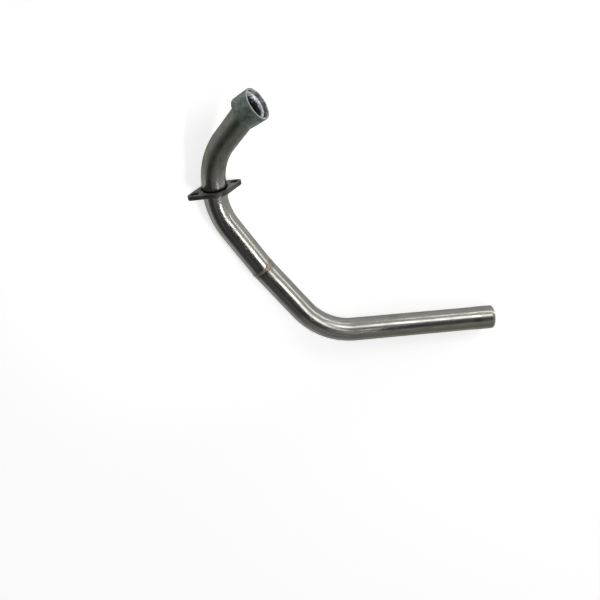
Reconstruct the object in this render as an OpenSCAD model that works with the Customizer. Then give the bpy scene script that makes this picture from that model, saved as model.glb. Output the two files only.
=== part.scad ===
// Motorcycle exhaust header: a bent tube in two welded lengths, with the port collar on its upper end,
// a loose two-bolt flange on the tube and a plain slip end at the tail.
// The origin is the middle of the collar's mouth. The header lies as it rests on a table, +Z up, with
// the tail pointing along +X. Each piece is drawn in the frame of the mouth, whose axis is +Z. The tube
// is set into the collar at an angle, leaves it along its own -Z, and bends towards its own +X.
// lay() then turns each piece to its resting position.

/* [Tube] */
// Outer diameter of the tube
tube_od = 28.6; // [25.4:0.1:34]
// Wall of the tube
tube_wall = 1.5; // [1:0.1:2.5]
// Centre-line radius of the bends
bend_r = 86; // [70:1:110]
// How much the tube draws in at its outer surface where it is bent
bend_draw = 0.15; // [0.05:0.01:0.3]
// How much the wall thins from inside where the tube is bent
bend_thin = 0.05; // [0.02:0.01:0.1]

/* [Route from the mouth to the tail] */
// Depth in the collar at which the tube's line meets the collar's line
set_depth = 14.5; // [14.3:0.1:15]
// Angle between the two lines
set_angle = 17; // [0:0.5:17]
// Turn of the first bend's plane from the plane of that angle
set_turn = -2; // [-20:0.5:30]
// From that meeting point to the start of the first bend
tube_run = 46.5; // [40:0.5:80]
// Angle of the first bend
first_bend = 39; // [30:0.5:60]
// Straight between the first and second bends, where the flange lies
flange_run = 12; // [11:1:30]
// Angle of the second bend
second_bend = 33.5; // [15:0.5:45]
// Straight from the second bend to the butt weld
upper_run = 61; // [30:1:100]
// Angle at the butt weld
joint_angle = 5; // [0:0.5:8]
// Straight from the butt weld to the third bend
lower_run = 71.5; // [30:0.5:100]
// Turn of the third bend's plane about the tube
third_turn = 35.5; // [20:0.5:50]
// Angle of the third bend
third_bend = 49.5; // [30:0.5:70]
// Straight tail after the third bend
tail_run = 181; // [120:1:240]

/* [Slip end] */
// Length of the sized end that plugs into the next pipe
slip_len = 22; // [15:1:40]
// Outer diameter of the sized end
slip_od = 29.2; // [28.7:0.1:34.2]
// Length of the step from the tube to the sized end
slip_step = 3; // [2:0.5:6]

/* [Port collar] */
// Outer diameter of the collar at its mouth
collar_od = 39; // [38.8:0.1:48]
// Outer diameter of the collar at its back
collar_back_od = 37.6; // [37.6:0.1:38.6]
// Wall of the collar at its mouth
collar_wall = 2.5; // [2:0.1:3.5]
// Depth of the mouth's plain bore, down to the weld
mouth_len = 3.6; // [3:0.1:4.5]
// How much wider the bore is behind that, all round
socket_step = 0.3; // [0.2:0.1:0.4]
// Depth from the mouth to the end of the tube
mouth_depth = 11; // [11:0.1:12]
// Length of the collar
collar_len = 22; // [19:0.5:22]
// Chamfer on the collar's back edge
collar_chamfer = 0.5; // [0.3:0.1:0.5]
// Break on the edges of the rim and of the tail
rim_break = 0.4; // [0.2:0.1:0.6]

/* [Swaged tube end] */
// Outer diameter of the tube's end in the collar
swage_od = 29.3; // [28.8:0.1:29.3]
// Gap between the tube's end and the collar's slanted bore
swage_gap = 0.1; // [0.05:0.05:0.1]
// Straight of the swaged end behind the collar
swage_lead = 1; // [1:0.5:3]
// Length of the taper from the swaged end to the tube
swage_len = 24; // [15:1:24]

/* [Welds] */
// Width and height of the weld behind the collar
collar_leg = 0.6; // [0.4:0.1:0.6]
// Radius of the opening inside the thick bead that stands on the tube's end in the collar
bead_open = 12.9; // [12:0.1:13]
// Radius of that bead's rounded face
bead_round = 5.8; // [5.5:0.1:7]
// Width of the butt weld
butt_width = 5; // [3:0.5:7]
// Height of the butt weld over the tube
butt_height = 0.7; // [0.4:0.1:1.2]

/* [Port flange] */
// Thickness of the flange
flange_t = 5; // [4:0.5:6]
// Gap all round between the tube and the flange's hole
flange_gap = 1.6; // [1.4:0.1:3.2]
// Land between the hole and the flange's waist
flange_land = 3.5; // [3:0.1:6]
// Distance between the centres of the rounded tips
tip_pitch = 59; // [54:0.5:70]
// Radius of the tips
tip_r = 4.5; // [3.5:0.1:6]
// Distance between the middles of the two stud slots
slot_pitch = 50.6; // [50:0.2:56]
// Width of a stud slot
slot_w = 6.5; // [5:0.1:7]
// Length of a stud slot
slot_len = 10; // [8:0.2:10.4]
// From the start of the flange's straight to the flange
flange_along = 8; // [4:0.5:8.5]
// Turn of the flange's long axis about the tube
flange_roll = 44; // [0:1:90]
// Lean of the loose flange about its long axis
flange_lean = -6; // [-6:0.5:6]
// Clearance left where the flange touches the tube
flange_seat = 0.2; // [0.1:0.05:0.3]

/* [Resting position] */
// Turn about X that lays the header on the table
lay_x = -65.16; // [-180:0.01:180]
// Turn about Y, made after the turn about X
lay_y = -2.2; // [-90:0.01:90]
// Turn about Z, made last, which points the tail along +X
lay_z = -51.84; // [-180:0.01:180]
// Direction round the tube, in the tube's frame, in which the flange stands up
flange_up = -66; // [-180:1:180]

/* [Hidden] */
$fn = 96;
tube_r = tube_od / 2;
slip_r = slip_od / 2;
collar_r = collar_od / 2;
collar_back_r = collar_back_od / 2;
collar_bore_r = collar_r - collar_wall;
socket_r = collar_bore_r + socket_step;
swage_r = swage_od / 2;
// How far the tube's line stands off the collar's line at the end of the tube
end_shift = (set_depth - mouth_depth) * tan(set_angle);
// Along the tube's line from where it meets the collar's line
taper_start = (collar_len - set_depth) / cos(set_angle) + swage_r * tan(set_angle) + swage_lead;
taper_end = taper_start + swage_len;
slip_start = tail_run - slip_len;
// How far that bead's middle stands off the collar's line, its outer radius and its depth in the mouth
bead_shift = 0.8 * end_shift;
bead_out = socket_r - 0.02 - bead_shift;
bead_top = mouth_len + 0.3;
bead_low = bead_top + sqrt(pow(bead_round, 2) - pow(bead_round - bead_out + bead_open, 2));
// Length by which each straight runs on into a bend, where the tube starts to draw in
bend_lap = 0.5;
// Length cut off each tube at the butt weld, so that the two ends meet on one flat
mitre_spare = tube_od * tan(joint_angle);
// The butt weld's crown is an arc over its width, and its inside clears both tubes
butt_bead_r = (pow(butt_width / 2, 2) + pow(butt_height, 2)) / (2 * butt_height);
butt_seat_r = tube_r / cos(joint_angle / 2) + butt_width / 2 * tan(joint_angle / 2);
hole_r = tube_r + flange_gap;
waist_r = hole_r + flange_land;
// Room left round the tube in the leaning hole, and how far the flange stands off centre
lean_loss = hole_r * (1 - cos(flange_lean)) + flange_t / 2 * sin(abs(flange_lean));
flange_shift = flange_gap - lean_loss - flange_seat;

steel = [0.50, 0.53, 0.52];
stainless = [0.66, 0.66, 0.65];
brown_bead = [0.45, 0.40, 0.36];
dark_plate = [0.25, 0.25, 0.24];

// Turns a piece from the frame of the mouth to its resting position
module lay() rotate([lay_x, lay_y, lay_z]) children();

// Moves the frame down a straight
module after_run(length) translate([0, 0, -length]) children();

// Moves the frame round a bend that turns towards +X
module after_bend(angle)
    translate([bend_r, 0, 0]) rotate([0, -angle, 0]) translate([-bend_r, 0, 0]) children();

// Frames along the route, each with the tube leaving along -Z
module at_tube() after_run(set_depth) rotate([0, -set_angle, 0]) rotate([0, 0, set_turn]) children();
module at_flange_straight() at_tube() after_run(tube_run) after_bend(first_bend) children();
module at_second_bend() at_flange_straight() after_run(flange_run) children();
module at_upper_run() at_second_bend() after_bend(second_bend) children();
module at_joint() at_upper_run() after_run(upper_run) children();
module at_third_bend()
    at_joint() rotate([0, -joint_angle, 0]) after_run(lower_run) rotate([0, 0, third_turn]) children();
module at_tail() at_third_bend() after_bend(third_bend) children();

// A straight length of tube from z = 0 down, with what runs on past each end
module tube_straight(length, above, below)
    rotate_extrude() translate([tube_r - tube_wall, -length - below])
        square([tube_wall, length + above + below]);

// A bent length of tube, which turns towards +X
module tube_bend(angle)
    translate([bend_r, 0, 0]) rotate([90, 0, 0]) rotate([0, 0, 180])
        rotate_extrude(angle = angle) translate([bend_r, 0]) difference() {
            circle(r = tube_r - bend_draw);
            circle(r = tube_r - tube_wall + bend_thin);
        }

// The swaged end, its taper and the straight up to the first bend. It is cut off flat in the collar.
module swaged_end()
    difference() {
        at_tube() rotate_extrude() polygon([
            [swage_r - tube_wall, collar_len],
            [swage_r, collar_len],
            [swage_r, -taper_start],
            [tube_r, -taper_end],
            [tube_r, -tube_run - bend_lap],
            [tube_r - tube_wall, -tube_run - bend_lap],
            [tube_r - tube_wall, -taper_end],
            [swage_r - tube_wall, -taper_start]
        ]);
        collar_slab(-mouth_depth, collar_len);
    }

// Everything round the collar's line between two heights
module collar_slab(low, high)
    translate([-collar_od, -collar_od, low]) cube([2 * collar_od, 2 * collar_od, high - low]);

// The straight tail and its sized end, from z = 0 down
module tail_end()
    rotate_extrude() polygon([
        [tube_r - tube_wall, bend_lap],
        [tube_r, bend_lap],
        [tube_r, -slip_start + slip_step],
        [slip_r, -slip_start],
        [slip_r, -tail_run + rim_break],
        [slip_r - rim_break, -tail_run],
        [slip_r - tube_wall, -tail_run],
        [slip_r - tube_wall, -slip_start],
        [tube_r - tube_wall, -slip_start + slip_step]
    ]);

// Everything on one side of the flat where the two tubes meet: side 1 is towards the mouth
module joint_side(side)
    rotate([0, -joint_angle / 2, 0])
        translate([-tube_od, -tube_od, side > 0 ? 0 : -2 * tube_od]) cube(2 * tube_od);

// A turned ring with a plain mouth, whose back part is bored at a slant to take the tube
module port_collar()
    color(steel) lay() difference() {
        rotate_extrude() polygon([
            [0, -mouth_depth],
            [socket_r, -mouth_depth],
            [socket_r, -mouth_len],
            [collar_bore_r, -mouth_len],
            [collar_bore_r, 0],
            [collar_r - rim_break, 0],
            [collar_r, -rim_break],
            [collar_back_r, -collar_len + collar_chamfer],
            [collar_back_r - collar_chamfer, -collar_len],
            [0, -collar_len]
        ]);
        intersection() {
            at_tube() translate([0, 0, -collar_od]) cylinder(r = swage_r + swage_gap, h = 2 * collar_od);
            collar_slab(-collar_od, -mouth_depth);
        }
    }

// The thick bead stands on the tube's end and on the floor of the mouth, up to the bore on one side
module mouth_weld()
    color(brown_bead) lay() translate([-bead_shift, 0, 0]) rotate_extrude() intersection() {
        translate([bead_open + bead_round, -bead_low]) circle(r = bead_round);
        translate([bead_open - 1, -mouth_depth])
            square([bead_out - bead_open + 1, mouth_depth - bead_top]);
    }

// The weld follows the tube where it leaves the collar's back
module collar_weld()
    color(steel) lay() intersection() {
        at_tube() rotate_extrude() translate([swage_r, -collar_od]) square([collar_leg, 2 * collar_od]);
        collar_slab(-collar_len - collar_leg, -collar_len);
    }

module upper_pipe()
    color(stainless) lay() {
        swaged_end();
        at_tube() after_run(tube_run) tube_bend(first_bend);
        at_flange_straight() tube_straight(flange_run, bend_lap, bend_lap);
        at_second_bend() tube_bend(second_bend);
        difference() {
            at_upper_run() tube_straight(upper_run, bend_lap, mitre_spare);
            at_joint() joint_side(-1);
        }
    }

module butt_weld()
    color(brown_bead) lay() at_joint() rotate([0, -joint_angle / 2, 0]) rotate_extrude() intersection() {
        translate([tube_r + butt_height - butt_bead_r, 0]) circle(r = butt_bead_r);
        translate([butt_seat_r, -butt_width / 2]) square([butt_height, butt_width]);
    }

module lower_pipe()
    color(stainless) lay() {
        difference() {
            at_joint() rotate([0, -joint_angle, 0]) tube_straight(lower_run, mitre_spare, bend_lap);
            at_joint() joint_side(1);
        }
        at_third_bend() tube_bend(third_bend);
        at_tail() tail_end();
    }

// Points along an arc round a centre
function arc(centre, radius, from, to, steps = 16) =
    [for (i = [0:steps]) let (a = from + (to - from) * i / steps) centre + radius * [cos(a), sin(a)]];

// A diamond with a round waist and round tips, whose straight sides are tangent to both
module flange_outline() {
    side = acos((waist_r - tip_r) / (tip_pitch / 2));
    polygon(concat(
        arc([tip_pitch / 2, 0], tip_r, -side, side),
        arc([0, 0], waist_r, side, 180 - side),
        arc([-tip_pitch / 2, 0], tip_r, 180 - side, 180 + side),
        arc([0, 0], waist_r, 180 + side, 360 - side)
    ));
}

// A slot with round ends, in the right-hand ear
module stud_slot() {
    reach = (slot_len - slot_w) / 2;
    translate([slot_pitch / 2, 0]) polygon(concat(
        arc([reach, 0], slot_w / 2, -90, 90),
        arc([-reach, 0], slot_w / 2, 90, 270)
    ));
}

module port_flange()
    color(dark_plate) lay() at_flange_straight() after_run(flange_along)
        translate(flange_shift * [cos(flange_up), sin(flange_up), 0])
            rotate([0, 0, flange_roll]) rotate([flange_lean, 0, 0])
                linear_extrude(flange_t, center = true) difference() {
                    flange_outline();
                    circle(r = hole_r);
                    for (turn = [0, 180]) rotate(turn) stud_slot();
                }

port_collar();
mouth_weld();
collar_weld();
upper_pipe();
butt_weld();
lower_pipe();
port_flange();
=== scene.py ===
"""Dresses the motorcycle exhaust header for its picture.

The header is a bent stainless tube in two welded lengths. Its upper end carries a turned port collar, a
loose diamond flange lies on the tube, and the tail ends in a plain sized slip end. The sizes below are those
of the solids, in metres, and every piece is built straight into its place on the resting header.
"""

import logging
import math
from dataclasses import dataclass, field
from enum import Enum
from typing import Callable

import bmesh
import bpy
from mathutils import Matrix, Vector, noise

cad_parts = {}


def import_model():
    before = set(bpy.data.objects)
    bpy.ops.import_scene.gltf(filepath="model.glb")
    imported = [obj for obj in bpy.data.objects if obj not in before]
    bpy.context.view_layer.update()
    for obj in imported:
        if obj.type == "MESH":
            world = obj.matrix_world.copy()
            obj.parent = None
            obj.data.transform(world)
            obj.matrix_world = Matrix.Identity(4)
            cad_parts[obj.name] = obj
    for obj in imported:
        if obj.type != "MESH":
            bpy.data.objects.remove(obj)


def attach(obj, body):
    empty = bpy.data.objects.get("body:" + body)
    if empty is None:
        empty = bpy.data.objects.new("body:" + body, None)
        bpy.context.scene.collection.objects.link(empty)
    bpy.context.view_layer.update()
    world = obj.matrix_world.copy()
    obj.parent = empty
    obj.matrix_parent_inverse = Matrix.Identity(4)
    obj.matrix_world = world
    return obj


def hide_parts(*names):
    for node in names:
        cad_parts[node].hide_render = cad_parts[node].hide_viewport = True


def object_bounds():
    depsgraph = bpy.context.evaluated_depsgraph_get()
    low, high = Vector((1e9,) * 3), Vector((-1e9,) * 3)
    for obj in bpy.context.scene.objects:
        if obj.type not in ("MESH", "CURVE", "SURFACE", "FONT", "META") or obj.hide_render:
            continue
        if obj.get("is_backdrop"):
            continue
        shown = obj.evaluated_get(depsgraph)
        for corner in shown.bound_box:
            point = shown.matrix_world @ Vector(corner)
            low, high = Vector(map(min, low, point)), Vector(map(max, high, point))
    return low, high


LOG = logging.getLogger("header")
BODY = "root"
MM = 0.001
UV_NAME = "UVMap"
ALONG = "along"
AROUND = "around"
INNER_MARK = 1.0
NEAR = 1e-6
WHITE = (1.0, 1.0, 1.0)
UP = Vector((0.0, 0.0, 1.0))
LUMP_START = Vector((3.0, 1.0, 2.0))
Pair = tuple[float, float]
Triple = tuple[float, float, float]
Socket = tuple[bpy.types.Node, str | int]
Feed = Socket | Triple | Vector | float
Inputs = dict[str | int, Feed]


class Stretch(Enum):
    """The kinds of length that make up the route of the tube."""

    STRAIGHT = "straight"
    BEND = "bend"


class TubePart(Enum):
    """The two welded lengths of the tube."""

    UPPER = "upper_pipe"
    LOWER = "lower_pipe"


def about_y(degrees: float) -> Matrix:
    """Returns a turn about the local Y axis."""
    return Matrix.Rotation(math.radians(degrees), 4, "Y")


def about_z(degrees: float) -> Matrix:
    """Returns a turn about the local Z axis."""
    return Matrix.Rotation(math.radians(degrees), 4, "Z")


def about_x(degrees: float) -> Matrix:
    """Returns a turn about the local X axis."""
    return Matrix.Rotation(math.radians(degrees), 4, "X")


def shift(x: float, y: float, z: float) -> Matrix:
    """Returns a move by the three distances."""
    return Matrix.Translation((x, y, z))


def z_axis(frame: Matrix) -> Vector:
    """Returns the direction of a frame's Z axis."""
    return frame.to_3x3() @ UP


def flat(place: Vector) -> Vector:
    """Returns a place moved down or up to height 0."""
    return Vector((place.x, place.y, 0.0))


def add_object(name: str, bm: bmesh.types.BMesh, material: bpy.types.Material) -> bpy.types.Object:
    """Turns a bmesh into an object in the scene.

    Args:
        name: Name of the object and of its mesh.
        bm: The bmesh, which is freed.
        material: Material of the whole object.

    Returns:
        The object, at the origin.
    """
    mesh = bpy.data.meshes.new(name)
    bm.to_mesh(mesh)
    bm.free()
    mesh.materials.append(material)
    piece = bpy.data.objects.new(name, mesh)
    bpy.context.scene.collection.objects.link(piece)
    return piece


def smooth(edge_a: float, edge_b: float, value: float) -> float:
    """Rises smoothly from 0 at the first edge to 1 at the second.

    Args:
        edge_a: Value at which the result is 0.
        edge_b: Value at which the result is 1.
        value: Value to place between them.

    Returns:
        A number from 0 to 1.
    """
    t = min(max((value - edge_a) / (edge_b - edge_a), 0.0), 1.0)
    return t * t * (3.0 - 2.0 * t)


@dataclass(frozen=True)
class Route:
    """The bend data of the tube, from the mouth of the collar to the tail, and how the header lies."""

    tube_r: float = 14.3 * MM
    swage_r: float = 14.65 * MM
    wall: float = 1.5 * MM
    mouth_depth: float = 11.0 * MM
    bend_r: float = 86.0 * MM
    set_depth: float = 14.5 * MM
    set_angle: float = 17.0
    set_turn: float = -2.0
    tube_run: float = 46.5 * MM
    first_bend: float = 39.0
    flange_run: float = 12.0 * MM
    second_bend: float = 33.5
    upper_run: float = 61.0 * MM
    joint_angle: float = 5.0
    lower_run: float = 71.5 * MM
    third_turn: float = 35.5
    third_bend: float = 49.5
    tail_run: float = 181.0 * MM
    lay: Triple = (-65.16, -2.2, -51.84)

    def mouth(self) -> Matrix:
        """Returns the frame of the collar's mouth, with its line along Z."""
        turn_x, turn_y, turn_z = self.lay
        return about_z(turn_z) @ about_y(turn_y) @ about_x(turn_x)

    def tube(self) -> Matrix:
        """Returns the frame in which the tube leaves the collar along -Z."""
        meeting = self.after_run(self.mouth(), self.set_depth)
        return meeting @ about_y(-self.set_angle) @ about_z(self.set_turn)

    def slant_hit(self, turn: float, radius: float, height: float) -> Vector:
        """Returns where a line on a tube's skin meets a flat across the collar.

        Args:
            turn: Angle of the line round the tube.
            radius: Radius of the skin.
            height: Height of the flat in the mouth's frame.

        Returns:
            The point, in the resting header's place.
        """
        mouth = self.mouth()
        frame = self.tube()
        normal = z_axis(mouth)
        along = z_axis(frame)
        point = frame @ Vector((radius * math.cos(turn), radius * math.sin(turn), 0.0))
        miss = (mouth @ (height * UP) - point).dot(normal)
        return point + along * (miss / along.dot(normal))

    def after_run(self, frame: Matrix, length: float) -> Matrix:
        """Returns the frame at the end of a straight that starts at a frame."""
        return frame @ shift(0.0, 0.0, -length)

    def after_bend(self, frame: Matrix, degrees: float) -> Matrix:
        """Returns the frame at the end of a bend towards +X that starts at a frame."""
        return frame @ shift(self.bend_r, 0.0, 0.0) @ about_y(-degrees) @ shift(-self.bend_r, 0.0, 0.0)

    def arc(self, degrees: float) -> float:
        """Returns the length of a bend along the centre line."""
        return math.radians(degrees) * self.bend_r

    def flange_straight(self) -> Matrix:
        """Returns the frame at the start of the flange's straight."""
        return self.after_bend(self.after_run(self.tube(), self.tube_run), self.first_bend)

    def joint(self, share: float) -> Matrix:
        """Returns the frame at the butt weld.

        Args:
            share: 0 for the upper tube's direction, 1 for the lower tube's, and half for the flat between.
        """
        frame = self.after_run(self.flange_straight(), self.flange_run)
        frame = self.after_run(self.after_bend(frame, self.second_bend), self.upper_run)
        return frame @ about_y(-self.joint_angle * share)

    def joint_along(self) -> float:
        """Returns the distance of the butt weld along the tube's line, from where it meets the collar's."""
        bends = self.arc(self.first_bend) + self.arc(self.second_bend)
        return self.tube_run + self.flange_run + self.upper_run + bends

    def full_length(self) -> float:
        """Returns the length of the whole centre line."""
        return self.joint_along() + self.lower_run + self.arc(self.third_bend) + self.tail_run


@dataclass(frozen=True)
class Station:
    """One cross-section of the tube."""

    frame: Matrix
    along: float
    bend_share: float
    twist: float = 0.0


@dataclass
class Mesher:
    """Holds one bmesh and turns it into a finished object."""

    name: str
    bm: bmesh.types.BMesh = field(default_factory=bmesh.new)

    def sharp(self, degrees: float) -> list[bmesh.types.BMEdge]:
        """Returns the edges between two faces that are sharper than an angle."""
        least = math.radians(degrees)
        return [e for e in self.bm.edges if len(e.link_faces) == 2 and e.calc_face_angle(0.0) > least]

    def finish(
        self,
        material: bpy.types.Material,
        node: str,
        smooth_angle: float = 40.0,
    ) -> bpy.types.Object:
        """Makes the object, dresses it and hides the solid that it replaces.

        Args:
            material: Material of the whole piece.
            node: Name of the solid that the piece replaces.
            smooth_angle: Edges sharper than this many degrees stay sharp.

        Returns:
            The finished object, at the origin.
        """
        for face in self.bm.faces:
            face.smooth = True
        for edge in self.sharp(smooth_angle):
            edge.smooth = False
        piece = add_object(self.name, self.bm, material)
        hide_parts(node)
        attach(piece, BODY)
        LOG.info("%s: %d faces", self.name, len(piece.data.polygons))
        return piece

    def recalculate(self) -> None:
        """Merges doubled points and turns every face outwards."""
        bmesh.ops.remove_doubles(self.bm, verts=self.bm.verts, dist=NEAR)
        bmesh.ops.recalc_face_normals(self.bm, faces=self.bm.faces)

    def sweep(self, rings: list[list[Vector]]) -> None:
        """Joins rings of points into a closed skin, the last ring to the first too.

        Args:
            rings: Rings with the same number of points, in order.
        """
        ring = bmesh.ops.create_circle(self.bm, segments=len(rings[0]), radius=1.0)["verts"]
        ring = sorted(ring, key=lambda vert: math.atan2(vert.co.y, vert.co.x) % (2.0 * math.pi))
        edges = list({edge for vert in ring for edge in vert.link_edges})
        for vert, place in zip(ring, rings[0]):
            vert.co = place
        for places in rings[1:] + rings[:1]:
            grown = bmesh.ops.extrude_edge_only(self.bm, edges=edges)["geom"]
            edges = [item for item in grown if isinstance(item, bmesh.types.BMEdge)]
            fresh = {item for item in grown if isinstance(item, bmesh.types.BMVert)}
            ring = [next(e.other_vert(v) for e in v.link_edges if e.other_vert(v) in fresh) for v in ring]
            for vert, place in zip(ring, places):
                vert.co = place
        self.recalculate()

    def spin_profile(self, points: list[Pair], steps: int) -> None:
        """Revolves a closed outline about the Z axis.

        Args:
            points: Radius and height of each corner of the outline, in order.
            steps: Number of steps in the full turn.
        """
        start = [self.bm.verts.new((radius, 0.0, height)) for radius, height in points]
        edges = [self.bm.edges.new((start[i], start[(i + 1) % len(start)])) for i in range(len(start))]
        bmesh.ops.spin(
            self.bm,
            geom=start + edges,
            cent=(0.0, 0.0, 0.0),
            axis=UP,
            angle=2.0 * math.pi,
            steps=steps,
            use_merge=True,
        )
        self.recalculate()

    def bevel_sharp(
        self,
        width: float,
        angle: float = 30.0,
        segments: int = 3,
        wanted: Callable[[bmesh.types.BMEdge], bool] = lambda edge: True,
    ) -> None:
        """Rounds the edges that are sharper than an angle.

        Args:
            width: Width of the rounding.
            angle: Sharpness in degrees over which an edge is rounded.
            segments: Number of faces across the rounding.
            wanted: Test that an edge has to pass to be rounded.
        """
        bmesh.ops.bevel(
            self.bm,
            geom=[edge for edge in self.sharp(angle) if wanted(edge)],
            offset=width,
            offset_type="OFFSET",
            affect="EDGES",
            segments=segments,
            profile=0.5,
            material=-1,
            clamp_overlap=True,
        )


@dataclass(frozen=True)
class Pattern:
    """A noise along and round the tube, with the two values between which it shows."""

    stretch: Pair
    scale: float
    detail: float
    edges: Pair
    rough: float = 0.55


class NodeGraph:
    """Builds the nodes of a material or of the world."""

    def __init__(self, owner: bpy.types.Material | bpy.types.World, output: str = "OutputMaterial") -> None:
        """Empties the owner's nodes and starts with its output.

        Args:
            owner: Material or world that takes the nodes.
            output: Type of its output node.
        """
        owner.use_nodes = True
        self.tree = owner.node_tree
        self.tree.nodes.clear()
        self.output = self.add(output)

    def add(self, kind: str, inputs: Inputs | None = None, **settings: object) -> bpy.types.Node:
        """Adds a node.

        Args:
            kind: Type of the node.
            inputs: What each of its inputs gets, by name or index.
            **settings: Names and values of its properties.

        Returns:
            The new node.
        """
        node = self.tree.nodes.new(f"ShaderNode{kind}")
        for key, value in settings.items():
            setattr(node, key, value)
        for name, value in (inputs or {}).items():
            self.feed(node, name, value)
        return node

    def feed(self, node: bpy.types.Node, name: str | int, value: Feed) -> None:
        """Links or sets one input of a node.

        Args:
            node: Node that takes the value.
            name: Name or index of its input.
            value: A node and its output, a number, a colour or a direction.
        """
        target = node.inputs[name]
        if isinstance(value, tuple) and isinstance(value[0], bpy.types.Node):
            self.tree.links.new(value[0].outputs[value[1]], target)
        elif target.type == "RGBA":
            target.default_value = (*value, 1.0)
        else:
            target.default_value = value

    def show(self, shader: Socket) -> None:
        """Links a shader to the output."""
        self.feed(self.output, "Surface", shader)

    def math(self, operation: str, *values: Feed) -> Socket:
        """Returns a sum on numbers."""
        return self.add("Math", dict(enumerate(values)), operation=operation), "Value"

    def vector(self, operation: str, output: str, *values: Feed) -> Socket:
        """Returns a sum on directions, whose output is Value or Vector."""
        return self.add("VectorMath", dict(enumerate(values)), operation=operation), output

    def uv(self, along: float, around: float) -> Socket:
        """Returns the piece's own map, scaled along the tube and round it."""
        coords = self.add("UVMap", uv_map=UV_NAME)
        return self.add("Mapping", {"Vector": (coords, "UV"), "Scale": (along, around, 1.0)}), "Vector"

    def noise(self, place: Socket, scale: float, detail: float, rough: float = 0.55) -> Socket:
        """Returns a noise.

        Args:
            place: What places the noise.
            scale: Scale of the noise.
            detail: Number of finer layers.
            rough: Share of each finer layer.
        """
        inputs = {"Vector": place, "Scale": scale, "Detail": detail, "Roughness": rough}
        return self.add("TexNoise", inputs), "Fac"

    def pattern(self, pattern: Pattern) -> Socket:
        """Returns the noise of a pattern, on the piece's own map."""
        return self.noise(self.uv(*pattern.stretch), pattern.scale, pattern.detail, pattern.rough)

    def ranged(self, value: Socket, low: float, high: float, to: Pair) -> Socket:
        """Maps a value from one range to another, clamped and smooth.

        Args:
            value: The value.
            low: Value that gives the first result.
            high: Value that gives the second result.
            to: The two results.
        """
        names = ("Value", "From Min", "From Max", "To Min", "To Max")
        inputs = dict(zip(names, (value, low, high, *to)))
        return self.add("MapRange", inputs, interpolation_type="SMOOTHSTEP"), "Result"

    def mix(self, share: Socket, first: Feed, second: Feed) -> Socket:
        """Mixes a share of a second colour into a first one."""
        return self.add("MixRGB", {0: share, 1: first, 2: second}), "Color"


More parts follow.
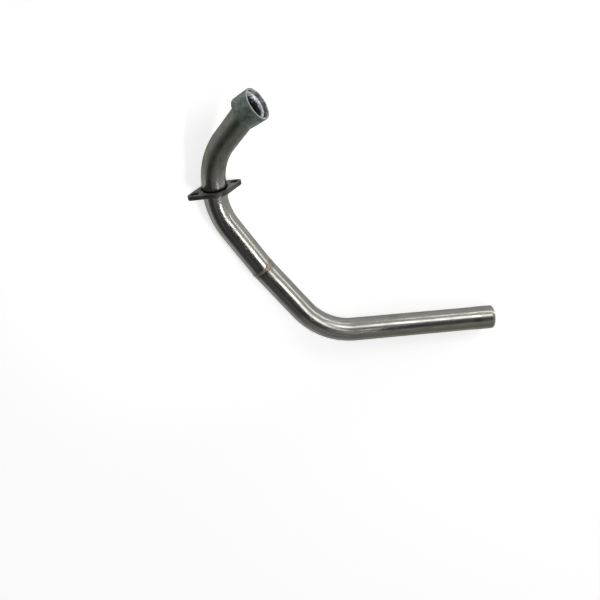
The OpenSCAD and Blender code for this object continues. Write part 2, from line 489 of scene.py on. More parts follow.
@dataclass(frozen=True)
class TubeFinish:
    """Satin stainless tube: long streaks, tarnish by the collar and a brown heat tint at the butt weld, with
    painted shade as an olive tone on the tail's side that faces -Y and as near-black on the inner skin.
    """

    name: str
    joint_along: float
    clean: Triple = (0.245, 0.242, 0.225)
    dull: Triple = (0.14, 0.137, 0.12)
    smoke: Triple = (0.095, 0.115, 0.092)
    stain: Triple = (0.165, 0.145, 0.125)
    tint: Triple = (0.15, 0.12, 0.095)
    painted_shade_olive: Triple = (0.17, 0.163, 0.105)
    inner_shade: Triple = (0.03, 0.027, 0.025)
    streaks: Pattern = Pattern((14.0, 260.0), 3.0, 5.0, edges=(0.35, 0.72))
    clouds: Pattern = Pattern((22.0, 30.0), 2.0, 4.0, edges=(0.42, 0.75))
    stains: Pattern = Pattern((40.0, 70.0), 2.4, 6.0, edges=(0.42, 0.6), rough=0.72)
    streak_share: float = 0.6
    cloud_share: float = 0.5
    under: Triple = (0.0, -0.9, 0.0)
    under_edges: Pair = (-0.15, 0.5)
    olive_span: Pair = (0.34, 0.42)
    olive_share: float = 0.8
    olive_least: float = 0.6
    smoke_span: Pair = (0.106, 0.075)
    smoke_share: float = 0.8
    tint_span: Pair = (8.0 * MM, 2.0 * MM)
    tint_edges: Pair = (0.3, 0.6)
    tint_least: float = 0.45
    roughness: float = 0.19
    roughness_spread: float = 0.08
    rough_edges: Pair = (0.3, 0.75)
    smoke_roughness: float = 0.17
    inner_metal: float = 0.2
    edge_tint: float = 0.55

    def material(self) -> bpy.types.Material:
        """Returns the tube's material."""
        material = bpy.data.materials.new(self.name)
        graph = NodeGraph(material)
        split = graph.add("SeparateXYZ", {"Vector": (graph.add("UVMap", uv_map=UV_NAME), "UV")})
        along = (split, "X")
        streaks = graph.ranged(graph.pattern(self.streaks), *self.streaks.edges, (0.0, self.streak_share))
        clouds = graph.pattern(self.clouds)
        clouded = graph.ranged(clouds, *self.clouds.edges, (0.0, self.cloud_share))
        patchy = graph.ranged(graph.pattern(self.stains), *self.stains.edges, (0.0, 1.0))
        smoked = graph.ranged(along, *self.smoke_span, (0.0, self.smoke_share))
        colour = graph.mix(streaks, self.clean, self.dull)
        colour = graph.mix(clouded, colour, self.dull)
        colour = graph.mix(smoked, colour, graph.mix(patchy, self.smoke, self.stain))
        # Painted shade: a darker olive tone on the tail's side that faces -Y.
        colour = graph.mix(self.olive_side_shade(graph, along, patchy), colour, self.painted_shade_olive)
        colour = graph.mix(self.heat(graph, along, clouds), colour, self.tint)
        # Painted shade: the inner skin is near-black and barely metallic.
        marks = (INNER_MARK * 0.5, INNER_MARK * 0.6)
        most_rough = self.roughness + self.roughness_spread
        rough = graph.ranged(clouds, *self.rough_edges, (self.roughness, most_rough))
        inputs = {
            "Base Color": graph.mix(graph.ranged((split, "Y"), *marks, (0.0, 1.0)), colour, self.inner_shade),
            "Metallic": graph.ranged((split, "Y"), *marks, (1.0, self.inner_metal)),
            "Roughness": graph.math("MULTIPLY_ADD", smoked, self.smoke_roughness, rough),
            "Specular Tint": (self.edge_tint, self.edge_tint, self.edge_tint),
        }
        graph.show((graph.add("BsdfPrincipled", inputs), "BSDF"))
        return material

    def olive_side_shade(self, graph: NodeGraph, along: Socket, patchy: Socket) -> Socket:
        """Returns the share of painted shade, olive in tone, on the tail's side that faces -Y.

        Args:
            graph: The material's nodes.
            along: Distance along the tube.
            patchy: Value that makes the painted shade uneven.
        """
        facing = graph.vector("DOT_PRODUCT", "Value", (graph.add("NewGeometry"), "Normal"), self.under)
        under = graph.ranged(facing, *self.under_edges, (0.0, self.olive_share))
        tail = graph.ranged(along, *self.olive_span, (0.0, 1.0))
        uneven = graph.ranged(patchy, 0.0, 1.0, (self.olive_least, 1.0))
        return graph.math("MULTIPLY", graph.math("MULTIPLY", under, tail), uneven)

    def heat(self, graph: NodeGraph, along: Socket, clouds: Socket) -> Socket:
        """Returns the share of heat tint, which lies on both sides of the butt weld.

        Args:
            graph: The material's nodes.
            along: Distance along the tube.
            clouds: Value that makes the tint uneven.
        """
        gap = graph.math("ABSOLUTE", graph.math("SUBTRACT", along, self.joint_along))
        near = graph.ranged(gap, *self.tint_span, (0.0, 1.0))
        uneven = graph.ranged(clouds, *self.tint_edges, (self.tint_least, 1.0))
        return graph.math("MULTIPLY", near, uneven)


@dataclass(frozen=True)
class SteelFinish:
    """Bare steel with a mottled colour, a fine rough skin, flat faces of a tone of their own and a bore of
    its own colour; on the collar the paler face is barer metal, and on the flange the rim, darker than the
    face, is painted shade.
    """

    name: str
    light: Triple
    dark: Triple
    roughness: float = 0.45
    roughness_spread: float = 0.15
    rough_edges: Pair = (0.3, 0.7)
    metallic: float = 0.8
    mottle: float = 140.0
    mottle_edges: Pair = (0.35, 0.68)
    grain: float = 1800.0
    grain_height: float = 0.06 * MM
    grain_strength: float = 0.3
    face_axis: Vector | None = None
    face: Triple = (0.3, 0.3, 0.3)
    face_edges: Pair = (0.75, 0.95)
    face_share: float = 0.85
    bore_r: float = 0.0
    bore_fade: Pair = (0.8 * MM, 0.3 * MM)
    bore_edges: Pair = (0.42, 0.6)
    bore_light: Triple = (0.5, 0.52, 0.52)
    bore_dark: Triple = (0.14, 0.16, 0.15)

    def material(self) -> bpy.types.Material:
        """Returns the steel's material."""
        material = bpy.data.materials.new(self.name)
        graph = NodeGraph(material)
        space = (graph.add("TexCoord"), "Object")
        mottle = graph.noise(space, self.mottle, 5.0, 0.6)
        colour = graph.mix(graph.ranged(mottle, *self.mottle_edges, (0.0, 1.0)), self.light, self.dark)
        metallic: Feed = self.metallic
        if self.face_axis is not None:
            normal = (graph.add("NewGeometry"), "True Normal")
            facing = graph.vector("DOT_PRODUCT", "Value", normal, self.face_axis)
            share = graph.ranged(facing, *self.face_edges, (0.0, self.face_share))
            colour = graph.mix(share, colour, self.face)
        if self.bore_r:
            across = graph.vector("CROSS_PRODUCT", "Vector", space, self.face_axis)
            reach = graph.vector("LENGTH", "Value", across)
            edges = [self.bore_r + fade for fade in self.bore_fade]
            share = graph.ranged(mottle, *self.bore_edges, (0.0, 1.0))
            skin = graph.mix(share, self.bore_light, self.bore_dark)
            colour = graph.mix(graph.ranged(reach, *edges, (0.0, 1.0)), colour, skin)
            metallic = graph.ranged(reach, *edges, (self.metallic, 0.0))
        grain = {
            "Height": graph.noise(space, self.grain, 4.0, 0.6),
            "Distance": self.grain_height,
            "Strength": self.grain_strength,
        }
        most_rough = self.roughness + self.roughness_spread
        inputs = {
            "Base Color": colour,
            "Metallic": metallic,
            "Roughness": graph.ranged(mottle, *self.rough_edges, (self.roughness, most_rough)),
            "Normal": (graph.add("Bump", grain), "Normal"),
        }
        graph.show((graph.add("BsdfPrincipled", inputs), "BSDF"))
        return material


@dataclass
class BentTube:
    """One length of the bent tube, with drawn-in bends, a slightly wider mouth or a sized tail."""

    route: Route
    part: TubePart
    segments: int = 96
    straight_step: float = 4.0 * MM
    bend_step: float = 2.0
    taper_start: float = 13.3 * MM
    taper_end: float = 37.3 * MM
    slip_r: float = 14.6 * MM
    slip_len: float = 22.0 * MM
    slip_step: float = 3.0 * MM
    draw_in: float = 0.15 * MM
    inner_dent: float = 0.25 * MM
    dent_ramp: float = 12.0 * MM
    rim_break: float = 0.45 * MM

    def stretches(self) -> list[tuple[Stretch, float]]:
        """Returns the straights and bends, in order."""
        route = self.route
        if self.part is TubePart.UPPER:
            return [
                (Stretch.STRAIGHT, route.tube_run),
                (Stretch.BEND, route.first_bend),
                (Stretch.STRAIGHT, route.flange_run),
                (Stretch.BEND, route.second_bend),
                (Stretch.STRAIGHT, route.upper_run),
            ]
        return [
            (Stretch.STRAIGHT, route.lower_run),
            (Stretch.BEND, route.third_bend),
            (Stretch.STRAIGHT, route.tail_run),
        ]

    def start(self) -> tuple[Matrix, float]:
        """Returns the frame at which the length starts, and its distance from the mouth."""
        route = self.route
        if self.part is TubePart.UPPER:
            return route.tube(), 0.0
        return route.joint(1.0), route.joint_along()

    def stations(self) -> list[Station]:
        """Returns the cross-sections, in order."""
        frame, along = self.start()
        twist = 0.0
        result = [Station(frame, along, 0.0)]
        for kind, amount in self.stretches():
            bends = kind is Stretch.BEND
            if bends and self.part is TubePart.LOWER:
                frame = frame @ about_z(self.route.third_turn)
                twist = math.radians(self.route.third_turn)
            length = self.route.arc(amount) if bends else amount
            travel = self.route.after_bend if bends else self.route.after_run
            count = math.ceil(amount / (self.bend_step if bends else self.straight_step))
            for i in range(1, count + 1):
                share = i / count
                dent = smooth(0.0, self.dent_ramp, min(share, 1.0 - share) * length) if bends else 0.0
                result.append(Station(travel(frame, amount * share), along + length * share, dent, twist))
            frame, along = result[-1].frame, along + length
        return result

    def radius(self, along: float) -> float:
        """Returns the tube's outer radius at a distance from the mouth.

        Args:
            along: Distance from the mouth along the centre line.
        """
        tube_r = self.route.tube_r
        flare = (self.route.swage_r - tube_r) * (1.0 - smooth(self.taper_start, self.taper_end, along))
        slip_at = self.route.full_length() - self.slip_len
        size = (self.slip_r - tube_r) * smooth(slip_at - self.slip_step, slip_at, along)
        return tube_r + flare + size

    def ring_offset(self, station: Station, turn: float) -> float:
        """Returns how far the skin lies from the tube's nominal radius.

        Args:
            station: The cross-section.
            turn: Angle round the tube from the inside of the bend.
        """
        inside = max(math.cos(turn), 0.0) ** 2
        return -station.bend_share * (self.draw_in + self.inner_dent * inside)

    def build(self, material: bpy.types.Material, slot: str) -> bpy.types.Object:
        """Builds the length of tube.

        Args:
            material: Material of the tube.
            slot: Not used.

        Returns:
            The finished piece.
        """
        mesher = Mesher(f"{self.part.value}_skin")
        bm = mesher.bm
        stations = self.stations()
        along_layer = bm.verts.layers.float.new(ALONG)
        around_layer = bm.verts.layers.float.new(AROUND)
        ring = bmesh.ops.create_circle(bm, segments=self.segments, radius=1.0)["verts"]
        edges = list({edge for vert in ring for edge in vert.link_edges})
        for index, station in enumerate(stations):
            if index:
                grown = bmesh.ops.extrude_edge_only(bm, edges=edges)["geom"]
                edges = [item for item in grown if isinstance(item, bmesh.types.BMEdge)]
                ring = [item for item in grown if isinstance(item, bmesh.types.BMVert)]
            for vert in ring:
                turn = vert[around_layer] if index else math.atan2(vert.co.y, vert.co.x)
                own = turn - station.twist
                out = self.radius(station.along) + self.ring_offset(station, own)
                vert.co = station.frame @ Vector((out * math.cos(own), out * math.sin(own), 0.0))
                if index == 0 and self.part is TubePart.UPPER:
                    vert.co = self.route.slant_hit(turn, out, -self.route.mouth_depth)
                vert[along_layer] = station.along
                vert[around_layer] = turn
        self.mitre(bm)
        self.map_skin(bm)
        bmesh.ops.recalc_face_normals(bm, faces=bm.faces)
        self.face_out(bm, stations[0])
        bmesh.ops.solidify(bm, geom=bm.faces[:], thickness=self.route.wall)
        self.mark_inside(bm, stations)
        mesher.bevel_sharp(self.rim_break, angle=50.0, segments=2)
        return mesher.finish(material, self.part.value)

    def mark_inside(self, bm: bmesh.types.BMesh, stations: list[Station]) -> None:
        """Moves the map of the inner skin far round, so that the finish paints it near-black as shade.

        Args:
            bm: Mesh of the tube's wall.
            stations: Cross-sections of the tube.
        """
        uv_layer = bm.loops.layers.uv[UV_NAME]
        centres = [station.frame.translation for station in stations]
        middle_r = self.route.tube_r - self.route.wall / 2.0
        for face in bm.faces:
            middle = face.calc_center_median()
            if min((middle - centre).length for centre in centres) > middle_r:
                continue
            for loop in face.loops:
                loop[uv_layer].uv.y += INNER_MARK

    def mitre(self, bm: bmesh.types.BMesh) -> None:
        """Slides the end at the butt weld onto the flat that both tubes share.

        Args:
            bm: Mesh of the tube's skin.
        """
        along_layer = bm.verts.layers.float[ALONG]
        middle = self.route.joint(0.5)
        normal = z_axis(middle)
        along = -z_axis(self.route.joint(0.0 if self.part is TubePart.UPPER else 1.0))
        for vert in bm.verts:
            if abs(vert[along_layer] - self.route.joint_along()) < NEAR:
                miss = (middle.translation - vert.co).dot(normal)
                vert.co += along * (miss / along.dot(normal))

    def map_skin(self, bm: bmesh.types.BMesh) -> None:
        """Lays the skin out flat: distance along the tube by distance round it.

        Args:
            bm: Mesh of the tube's skin.
        """
        along_layer = bm.verts.layers.float[ALONG]
        around_layer = bm.verts.layers.float[AROUND]
        uv_layer = bm.loops.layers.uv.new(UV_NAME)
        for face in bm.faces:
            turns = [loop.vert[around_layer] for loop in face.loops]
            wraps = max(turns) - min(turns) > math.pi
            for loop, turn in zip(face.loops, turns):
                if wraps and turn < 0.0:
                    turn += 2.0 * math.pi
                loop[uv_layer].uv = (loop.vert[along_layer], turn * self.route.tube_r)

    def face_out(self, bm: bmesh.types.BMesh, first: Station) -> None:
        """Turns the skin's faces away from the centre line.

        Args:
            bm: Mesh of the tube's skin.
            first: The first cross-section.
        """
        face = min(bm.faces, key=lambda f: (f.calc_center_median() - first.frame.translation).length)
        middle = face.calc_center_median()
        axis = z_axis(first.frame)
        away = middle - first.frame.translation
        away -= axis * away.dot(axis)
        if face.normal.dot(away) < 0.0:
            bmesh.ops.reverse_faces(bm, faces=bm.faces)


@dataclass
class PortCollar:
    """The turned collar, the bead behind it and the rough bead in its mouth."""

    route: Route
    outer_r: float = 19.5 * MM
    back_r: float = 18.8 * MM
    bore_r: float = 17.0 * MM
    socket_r: float = 17.3 * MM
    length: float = 22.0 * MM
    mouth_len: float = 3.6 * MM
    back_chamfer: float = 0.5 * MM
    rim_round: float = 0.75 * MM
    bore_round: float = 0.3 * MM
    seat_gap: float = 0.05 * MM
    weld_leg: float = 0.6 * MM
    weld_ripples: float = 34.0
    weld_wave: float = 0.1
    bead_open: float = 12.9 * MM
    bead_round: float = 5.8 * MM
    bead_shift: float = 0.86 * MM
    bead_depth: float = 0.3 * MM
    bead_foot: float = 0.3 * MM
    bead_clear: float = 0.03 * MM
    bead_end: float = 188.0
    lump_depth: float = 0.75 * MM
    lump_base: float = 0.55
    lump_scales: Pair = (420.0, 900.0)
    lump_fine: float = 0.7
    lump_fade: float = 1.5 * MM
    bore_slack: float = 0.05 * MM
    bore_drop: float = 0.5 * MM
    foot_keep: float = 0.1 * MM
    turns: int = 160

    def angles(self) -> list[float]:
        """Returns the angle of each step round the collar."""
        return [2.0 * math.pi * i / self.turns for i in range(self.turns)]

    def round_ring(self, radius: float, height: float) -> list[Vector]:
        """Returns a ring about the collar's line, at a height in the mouth's frame."""
        mouth = self.route.mouth() @ about_z(self.route.set_turn)
        return [mouth @ Vector((radius * math.cos(a), radius * math.sin(a), height)) for a in self.angles()]

    def slant_ring(self, radius: float, height: float) -> list[Vector]:
        """Returns the ring in which a tube on the slanted line meets a flat across the collar."""
        return [self.route.slant_hit(a, radius, height) for a in self.angles()]

    def build_collar(self, material: bpy.types.Material) -> bpy.types.Object:
        """Builds the collar.

        Args:
            material: Material of the collar.

        Returns:
            The finished piece.
        """
        mesher = Mesher("port_collar_ring")
        rings = [
            self.round_ring(self.bore_r, 0.0),
            self.round_ring(self.outer_r, 0.0),
            self.round_ring(self.back_r, -self.length + self.back_chamfer),
            self.round_ring(self.back_r - self.back_chamfer, -self.length),
            self.slant_ring(self.route.swage_r + self.seat_gap, -self.length),
            self.slant_ring(self.route.swage_r + self.seat_gap, -self.route.mouth_depth),
            self.round_ring(self.socket_r, -self.route.mouth_depth),
            self.round_ring(self.socket_r, -self.mouth_len),
            self.round_ring(self.bore_r, -self.mouth_len),
        ]
        mesher.sweep(rings)
        mesher.bevel_sharp(self.rim_round, wanted=lambda edge: self.on_rim(edge, self.back_r, self.outer_r))
        mesher.bevel_sharp(self.bore_round, wanted=lambda edge: self.on_rim(edge, 0.0, self.back_r - MM))
        mesher.bevel_sharp(self.bore_round, wanted=lambda edge: self.place(edge)[1] < -self.length + MM)
        return mesher.finish(material, "port_collar")

    def place(self, edge: bmesh.types.BMEdge) -> Pair:
        """Returns an edge's distance from the collar's line and its height in the mouth's frame."""
        axis = z_axis(self.route.mouth())
        middle = (edge.verts[0].co + edge.verts[1].co) / 2.0
        return middle.cross(axis).length, middle.dot(axis)

    def on_rim(self, edge: bmesh.types.BMEdge, least_r: float, most_r: float) -> bool:
        """Returns whether an edge lies on the rim.

        Args:
            edge: The edge.
            least_r: Least distance from the collar's line.
            most_r: Greatest distance from it.
        """
        reach, height = self.place(edge)
        return height > -MM / 4.0 and least_r < reach < most_r + MM / 4.0

    def build_back_weld(self, material: bpy.types.Material) -> bpy.types.Object:
        """Builds the weld behind the collar, with soft ripples.

        Args:
            material: Material of the weld.

        Returns:
            The finished piece.
        """
        mesher = Mesher("collar_weld_bead")
        seat = self.slant_ring(self.route.swage_r, -self.length)
        middle = sum(seat, Vector()) / len(seat)
        down = -z_axis(self.route.tube())
        rings = [seat]
        arc_steps = 6
        for i in range(arc_steps + 1):
            turn = math.radians(90.0 * i / arc_steps)
            ring = []
            for step, point in enumerate(seat):
                wave = math.cos(step * 2.0 * math.pi * self.weld_ripples / self.turns)
                reach = self.weld_leg * (1.0 - self.weld_wave + self.weld_wave * wave)
                outward = (point - middle).normalized() * math.cos(turn)
                ring.append(point + reach * (outward + down * math.sin(turn)))
            rings.append(ring)
        mesher.sweep(rings)
        return mesher.finish(material, "collar_weld")

    def build_mouth_weld(self, material: bpy.types.Material) -> bpy.types.Object:
        """Builds the lumpy bead on the tube's end inside the collar.

        Args:
            material: Material of the weld.

        Returns:
            The finished piece.
        """
        mesher = Mesher("mouth_weld_bead")
        widest = self.socket_r - self.bead_shift - self.bead_clear
        top = -self.mouth_len - self.bead_depth
        across = self.bead_round - widest + self.bead_open
        low = top - math.sqrt(self.bead_round**2 - across**2)
        points = [(widest, -self.route.mouth_depth), (widest, top)]
        start = math.acos(-across / self.bead_round)
        arc_steps = 18
        for i in range(1, arc_steps + 1):
            turn = start + (math.radians(self.bead_end) - start) * i / arc_steps
            out = self.bead_open + self.bead_round * (1.0 + math.cos(turn))
            points.append((out, low + self.bead_round * math.sin(turn)))
        points.append((self.bead_open + self.bead_foot, -self.route.mouth_depth))
        mesher.spin_profile(points, self.turns)
        for vert in mesher.bm.verts:
            self.crumple(vert, top, widest)
        seat = self.route.mouth() @ shift(-self.bead_shift, 0.0, 0.0)
        bmesh.ops.transform(mesher.bm, matrix=seat, verts=mesher.bm.verts)
        return mesher.finish(material, "mouth_weld", 60.0)

    def crumple(self, vert: bmesh.types.BMVert, top: float, widest: float) -> None:
        """Sinks a point of the bead's face to make the weld metal lumpy.

        Args:
            vert: Point of the bead.
            top: Height of the bead's upper edge.
            widest: Outer radius of the bead.
        """
        across = flat(vert.co)
        at_bore = across.length > widest - self.bore_slack and vert.co.z < top - self.bore_drop
        if at_bore or vert.co.z < -self.route.mouth_depth + self.foot_keep:
            return
        coarse, fine = self.lump_scales
        lumps = noise.noise(vert.co * coarse) + self.lump_fine * noise.noise(vert.co * fine + LUMP_START)
        sink = max(0.0, self.lump_base + lumps) * self.lump_depth
        outward = across.normalized() * smooth(widest, widest - self.lump_fade, across.length)
        vert.co += (outward - UP).normalized() * sink


@dataclass
class ButtWeld:
    """The rippled bead between the two lengths of tube."""

    route: Route
    width: float = 3.6 * MM
    height: float = 0.5 * MM
    foot: float = 0.93
    foot_keep: float = 0.05 * MM
    turns: int = 240
    ripples: int = 46
    ripple_skew: float = 5.2
    ripple_height: float = 0.12 * MM
    ripple_share: float = 0.6
    rough_share: float = 0.4
    rough_scale: float = 500.0

    def build(self, material: bpy.types.Material) -> bpy.types.Object:
        """Builds the bead.

        Args:
            material: Material of the bead.

        Returns:
            The finished piece.
        """
        mesher = Mesher("butt_weld_bead")
        half = self.width / 2.0
        tilt = math.radians(self.route.joint_angle / 2.0)
        seat_r = self.route.tube_r / math.cos(tilt) + half * math.tan(tilt)
        points = []
        arc_steps = 12
        for i in range(arc_steps + 1):
            across = -1.0 + 2.0 * i / arc_steps
            crown = seat_r + (self.route.tube_r + self.height - seat_r) * (1.0 - across * across)
            points.append((crown, across * half * self.foot))
        mesher.spin_profile(points, self.turns)
        for vert in mesher.bm.verts:
            across = flat(vert.co)
            if across.length > seat_r + self.foot_keep:
                turn = math.atan2(vert.co.y, vert.co.x)
                wave = math.cos(self.ripples * turn + self.ripple_skew * abs(vert.co.z) / self.width)
                rough = noise.noise(vert.co * self.rough_scale)
                sink = 1.0 + self.ripple_share * wave + self.rough_share * rough
                vert.co -= across.normalized() * self.ripple_height * sink
        bmesh.ops.transform(mesher.bm, matrix=self.route.joint(0.5), verts=mesher.bm.verts)
        return mesher.finish(material, "butt_weld", 60.0)


@dataclass
class PortFlange:
    """The loose diamond flange that lies on the tube."""

    route: Route
    thickness: float = 5.0 * MM
    gap: float = 1.6 * MM
    land: float = 3.5 * MM
    tip_pitch: float = 59.0 * MM
    tip_r: float = 4.5 * MM
    slot_pitch: float = 50.6 * MM
    slot_w: float = 6.5 * MM
    slot_len: float = 10.0 * MM
    along: float = 8.0 * MM
    roll: float = 44.0
    lean: float = -6.0
    seat: float = 0.2 * MM
    up: float = -66.0
    edge_round: float = 0.6 * MM
    arc_steps: int = 24

    def frame(self) -> Matrix:
        """Returns the frame of the flange's middle, with Z through its hole."""
        hole_r = self.route.tube_r + self.gap
        tilt = math.radians(abs(self.lean))
        loss = hole_r * (1.0 - math.cos(tilt)) + self.thickness / 2.0 * math.sin(tilt)
        stand = self.gap - loss - self.seat
        turn = math.radians(self.up)
        start = self.route.after_run(self.route.flange_straight(), self.along)
        moved = start @ shift(stand * math.cos(turn), stand * math.sin(turn), 0.0)
        return moved @ about_z(self.roll) @ about_x(self.lean)

    def arc(self, bm: bmesh.types.BMesh, centre: float, radius: float, start: float, sweep: float) -> None:
        """Draws an arc of edges in the plate's plane.

        Args:
            bm: Mesh that takes the arc.
            centre: Place of the arc's middle on the plate's long line.
            radius: Radius of the arc.
            start: Angle of its first point, in degrees.
            sweep: Angle that it covers, in degrees.
        """
        turn = math.radians(start)
        middle = Vector((centre, 0.0, 0.0))
        first = bm.verts.new(middle + radius * Vector((math.cos(turn), math.sin(turn), 0.0)))
        bmesh.ops.spin(
            bm,
            geom=[first],
            cent=middle,
            axis=UP,
            angle=math.radians(sweep),
            steps=self.arc_steps,
        )

    def close(self, bm: bmesh.types.BMesh) -> None:
        """Joins the open ends of the arcs that are drawn so far, each to its nearest in line.

        Args:
            bm: Mesh that holds the arcs.
        """
        bmesh.ops.remove_doubles(bm, verts=bm.verts, dist=NEAR)
        ends = [vert for vert in bm.verts if len(vert.link_edges) == 1]
        while ends:
            vert = ends.pop(0)
            heading = (vert.co - vert.link_edges[0].other_vert(vert).co).normalized()
            best = max(ends, key=lambda other: (other.co - vert.co).normalized().dot(heading))
            bm.edges.new((vert, best))
            ends.remove(best)

    def build(self, material: bpy.types.Material) -> bpy.types.Object:
        """Builds the flange.

        Args:
            material: Material of the flange.

        Returns:
            The finished piece.
        """
        mesher = Mesher("port_flange_plate")
        bm = mesher.bm
        hole_r = self.route.tube_r + self.gap
        waist_r = hole_r + self.land
        reach = self.tip_pitch / 2.0
        side = math.degrees(math.acos((waist_r - self.tip_r) / reach))
        self.arc(bm, reach, self.tip_r, -side, 2.0 * side)
        self.arc(bm, 0.0, waist_r, side, 180.0 - 2.0 * side)
        self.arc(bm, -reach, self.tip_r, 180.0 - side, 2.0 * side)
        self.arc(bm, 0.0, waist_r, 180.0 + side, 180.0 - 2.0 * side)
        self.close(bm)
        for sign in (-1.0, 1.0):
            middle = sign * self.slot_pitch / 2.0
            half = (self.slot_len - self.slot_w) / 2.0
            self.arc(bm, middle + half, self.slot_w / 2.0, -90.0, 180.0)
            self.arc(bm, middle - half, self.slot_w / 2.0, 90.0, 180.0)
            self.close(bm)
        bmesh.ops.create_circle(bm, segments=96, radius=hole_r)
        bmesh.ops.triangle_fill(bm, use_beauty=True, use_dissolve=True, edges=bm.edges[:])
        grown = bmesh.ops.extrude_face_region(bm, geom=bm.faces[:])["geom"]
        moved = [item for item in grown if isinstance(item, bmesh.types.BMVert)]
        bmesh.ops.translate(bm, verts=moved, vec=(0.0, 0.0, self.thickness))
        bmesh.ops.translate(bm, verts=bm.verts, vec=(0.0, 0.0, -self.thickness / 2.0))
        bmesh.ops.recalc_face_normals(bm, faces=bm.faces)
        mesher.bevel_sharp(self.edge_round, angle=60.0)
        bmesh.ops.transform(bm, matrix=self.frame(), verts=bm.verts)
        return mesher.finish(material, "port_flange", 50.0)


@dataclass(frozen=True)
class Strip:
    """A soft strip lamp, from the middle of one short side to the middle of the other."""

    name: str
    start: Vector | Triple
    end: Vector | Triple
    width: float
    aim: Triple
    glow: float
    spread: float = 180.0

    def light(self) -> None:
        """Adds the lamp, which faces its aim exactly."""
        start = Vector(self.start)
        end = Vector(self.end)
        lamp = bpy.data.lights.new(self.name, "AREA")
        lamp.shape = "RECTANGLE"
        lamp.size = (end - start).length
        lamp.size_y = self.width
        lamp.energy = self.glow * math.pi * lamp.size * lamp.size_y
        lamp.spread = math.radians(self.spread)
        place = (start + end) / 2.0
        back = (place - Vector(self.aim)).normalized()
        along = end - start
        along = (along - back * along.dot(back)).normalized()
        turn = Matrix((along, back.cross(along), back)).transposed()
        holder = bpy.data.objects.new(self.name, lamp)
        holder.matrix_world = Matrix.Translation(place) @ turn.to_4x4()
        bpy.context.scene.collection.objects.link(holder)


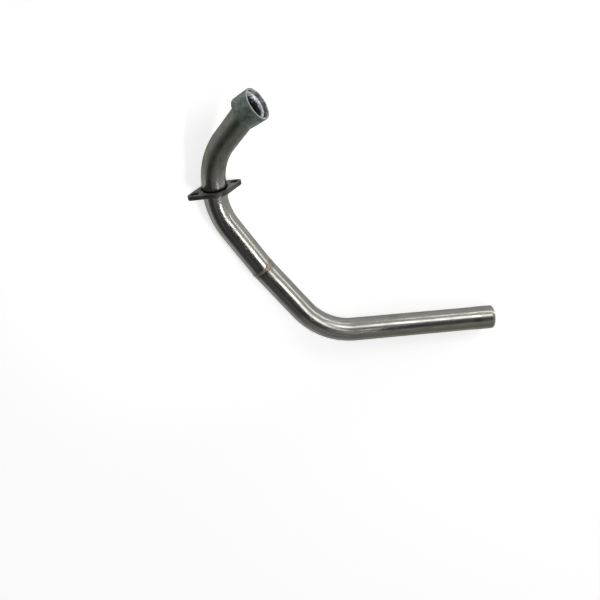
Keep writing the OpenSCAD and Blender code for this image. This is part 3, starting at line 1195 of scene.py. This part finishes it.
@dataclass
class Studio:
    """The floor, the lights, the dark tent and the camera. Angles are in degrees, places in metres."""

    floor_z: float
    floor_size: float = 12.0
    floor_grey: Triple = (0.86, 0.86, 0.86)
    floor_glow: float = 0.6
    soft_light: float = 0.35
    middle: Triple = (0.1, -0.15, -0.05)
    near_spread: float = 30.0
    tent_r: float = 3.0
    tent_foot: float = -0.05
    side_from: Pair = (-115.0, 5.0)
    side_level: float = 0.5
    side_cosines: Pair = (-0.15, 0.55)
    dark_level: float = 0.08
    dark_core: float = 0.35
    dark_spots: tuple[Triple, ...] = (
        (-110.0, 68.0, 27.0),
        (-10.0, 74.0, 32.0),
        (20.0, 68.0, 24.0),
        (-145.0, 32.0, 40.0),
    )
    camera_at: Triple = (-0.1439, 0.2136, 1.06)
    camera_turn: Triple = (-22.523, -10.007, 0.775)
    lens: float = 60.0
    sensor: float = 36.0

    def build(self) -> None:
        """Builds the whole stage."""
        self.build_floor()
        self.build_world()
        for strip in self.strips():
            strip.light()
        self.build_tent()
        self.build_camera()

    def seen(self, graph: NodeGraph) -> Socket:
        """Returns a value that is 1 for camera, glossy and transmission rays."""
        path = graph.add("LightPath")
        first = graph.math("MAXIMUM", (path, "Is Camera Ray"), (path, "Is Glossy Ray"))
        return graph.math("MAXIMUM", first, (path, "Is Transmission Ray"))

    def build_floor(self) -> None:
        """Builds the white floor, which keeps the header's soft shadow."""
        bm = bmesh.new()
        bmesh.ops.create_grid(bm, x_segments=2, y_segments=2, size=self.floor_size / 2.0)
        bmesh.ops.translate(bm, verts=bm.verts, vec=(self.middle[0], self.middle[1], self.floor_z))
        material = bpy.data.materials.new("floor_white")
        graph = NodeGraph(material)
        diffuse = (graph.add("BsdfDiffuse", {"Color": self.floor_grey}), 0)
        glow = (graph.add("Emission", {"Color": WHITE, "Strength": self.floor_glow}), 0)
        both = (graph.add("AddShader", {0: diffuse, 1: glow}), 0)
        graph.show((graph.add("MixShader", {0: self.seen(graph), 1: diffuse, 2: both}), 0))
        add_object("floor", bm, material)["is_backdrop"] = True

    def build_world(self) -> None:
        """Builds a white world for the eye and for reflections, with a dimmer soft light."""
        world = bpy.data.worlds.new("studio")
        bpy.context.scene.world = world
        graph = NodeGraph(world, "OutputWorld")
        white = (graph.add("Background", {"Strength": 1.0, "Color": WHITE}), 0)
        soft = (graph.add("Background", {"Strength": self.soft_light, "Color": WHITE}), 0)
        graph.show((graph.add("MixShader", {0: self.seen(graph), 1: soft, 2: white}), 0))

    def spot(self, azimuth: float, height: float, reach: float) -> Vector:
        """Returns a place seen from the header's middle.

        Args:
            azimuth: Compass angle from +X.
            height: Angle above the floor.
            reach: Distance.
        """
        turn = math.radians(azimuth)
        rise = math.radians(height)
        away = Vector((math.cos(rise) * math.cos(turn), math.cos(rise) * math.sin(turn), math.sin(rise)))
        return Vector(self.middle) + reach * away

    def strips(self) -> tuple[Strip, ...]:
        """Returns the lamps: three near the diagonal, a high one for the tail and a low one for both."""
        neck = ((0.335, -0.48, 0.57), (0.345, -0.29, 0.59), 0.10, (-0.05, -0.105, -0.04))
        near = ((0.345, -0.27, 0.59), (0.405, -0.07, 0.592), 0.10, (-0.03, -0.17, -0.04))
        elbow = ((0.415, -0.08, 0.585), (0.49, -0.06, 0.55), 0.10, (0.0, -0.19, -0.04))
        tail = ((0.87, 0.52, 1.10), (0.82, 0.95, 0.88), 0.30, self.middle)
        low = (self.spot(0.0, 19.0, 1.6), self.spot(66.0, 5.0, 1.6), 0.14, self.middle)
        return (
            Strip("neck_strip", *neck, glow=0.65, spread=self.near_spread),
            Strip("near_strip", *near, glow=0.5, spread=self.near_spread),
            Strip("elbow_strip", *elbow, glow=0.47, spread=self.near_spread),
            Strip("tail_strip", *tail, glow=8.0),
            Strip("low_strip", *low, glow=6.5),
        )

    def build_tent(self) -> None:
        """Builds the dark tent that the metal mirrors over and behind it, seen by reflections alone."""
        bm = bmesh.new()
        bmesh.ops.create_uvsphere(bm, u_segments=48, v_segments=24, radius=self.tent_r)
        low = [vert for vert in bm.verts if vert.co.z < self.tent_foot]
        bmesh.ops.delete(bm, geom=low, context="VERTS")
        bmesh.ops.translate(bm, verts=bm.verts, vec=self.middle)
        material = bpy.data.materials.new("tent_grey")
        graph = NodeGraph(material)
        centred = graph.vector("SUBTRACT", "Vector", (graph.add("TexCoord"), "Object"), self.middle)
        heading = graph.vector("NORMALIZE", "Vector", centred)
        level = self.dimmed(graph, heading, self.side_from, self.side_level, self.side_cosines)
        for azimuth, height, reach in self.dark_spots:
            cosines = (math.cos(math.radians(reach)), math.cos(math.radians(reach * self.dark_core)))
            dark = self.dimmed(graph, heading, (azimuth, height), self.dark_level, cosines)
            level = graph.math("MINIMUM", level, dark)
        graph.show((graph.add("Emission", {"Strength": level}), 0))
        tent = add_object("dark_tent", bm, material)
        tent.visible_camera = False
        tent.visible_diffuse = False
        tent.visible_shadow = False
        tent.visible_transmission = False
        tent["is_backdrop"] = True

    def dimmed(
        self,
        graph: NodeGraph,
        heading: Socket,
        towards: Pair,
        level: float,
        cosines: Pair,
    ) -> Socket:
        """Returns a brightness that falls from 1 towards one direction.

        Args:
            graph: The tent's nodes.
            heading: Direction looked in.
            towards: Azimuth and height of the direction.
            level: Brightness at the direction.
            cosines: Cosines of the angles at which the fall starts and ends.
        """
        aim = self.spot(*towards, 1.0) - Vector(self.middle)
        return graph.ranged(graph.vector("DOT_PRODUCT", "Value", heading, aim), *cosines, (1.0, level))

    def build_camera(self) -> None:
        """Builds the camera at the photograph's angle."""
        data = bpy.data.cameras.new("camera")
        data.lens = self.lens
        data.sensor_width = self.sensor
        data.sensor_height = self.sensor
        holder = bpy.data.objects.new("camera", data)
        holder.location = self.camera_at
        holder.rotation_euler = [math.radians(angle) for angle in self.camera_turn]
        bpy.context.scene.collection.objects.link(holder)
        bpy.context.scene.camera = holder


@dataclass
class Header:
    """The whole exhaust header."""

    route: Route

    def tube_finish(self, name: str) -> bpy.types.Material:
        """Returns the finish of one length of tube."""
        return TubeFinish(name, self.route.joint_along()).material()

    def collar_finish(self) -> bpy.types.Material:
        """Returns the dark green-grey finish of the collar, whose face and bore are paler."""
        return SteelFinish(
            "collar_steel",
            (0.155, 0.185, 0.165),
            (0.075, 0.095, 0.082),
            face_axis=z_axis(self.route.mouth()),
            face=(0.30, 0.325, 0.32),
            bore_r=PortCollar.socket_r,
        ).material()

    def bead_finish(self) -> bpy.types.Material:
        """Returns the bright finish of the rough bead in the mouth, whose bore is painted near-black as
        shade.
        """
        return SteelFinish(
            "mouth_bead",
            (0.62, 0.61, 0.67),
            (0.17, 0.18, 0.18),
            roughness=0.27,
            metallic=1.0,
            mottle=330.0,
            grain=900.0,
            grain_height=0.25 * MM,
            grain_strength=0.4,
            face_axis=z_axis(self.route.mouth()),
            face=(0.62, 0.61, 0.67),
            # Painted shade: the bore inside the bead is near-black and not metallic.
            bore_r=PortCollar.bead_open,
            bore_light=(0.05, 0.05, 0.05),
            bore_dark=(0.02, 0.02, 0.02),
        ).material()

    def butt_finish(self) -> bpy.types.Material:
        """Returns the brown finish of the butt weld."""
        return SteelFinish(
            "butt_bead",
            (0.20, 0.175, 0.15),
            (0.12, 0.085, 0.065),
            roughness=0.3,
            metallic=1.0,
            mottle=260.0,
        ).material()

    def plate_finish(self) -> bpy.types.Material:
        """Returns the near-black finish of the flange, whose rim and far face are darker than the face along
        its hole as painted shade.
        """
        return SteelFinish(
            "flange_plate",
            (0.05, 0.05, 0.045),
            (0.018, 0.018, 0.017),
            roughness=0.42,
            metallic=0.7,
            mottle=90.0,
            # Painted shade: the rim and far face keep the darker tone, and the face along the hole's axis is
            # lighter.
            face_axis=z_axis(PortFlange(self.route).frame()),
            face=(0.085, 0.087, 0.08),
        ).material()

    def build(self) -> None:
        """Builds every piece of the header."""
        upper = BentTube(self.route, TubePart.UPPER)
        upper.build(self.tube_finish("upper_tube_satin"), "upper_tube")
        lower = BentTube(self.route, TubePart.LOWER)
        lower.build(self.tube_finish("lower_tube_satin"), "lower_tube")
        collar = PortCollar(self.route)
        steel = self.collar_finish()
        collar.build_collar(steel)
        collar.build_back_weld(steel)
        collar.build_mouth_weld(self.bead_finish())
        ButtWeld(self.route).build(self.butt_finish())
        PortFlange(self.route).build(self.plate_finish())


def main() -> None:
    logging.basicConfig(level=logging.INFO, format="%(name)s: %(message)s")
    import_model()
    cad_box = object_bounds()
    Header(Route()).build()
    Studio(floor_z=float(cad_box[0][2])).build()
    bpy.context.scene.view_settings.view_transform = "Standard"


if __name__ == "__main__":
    main()
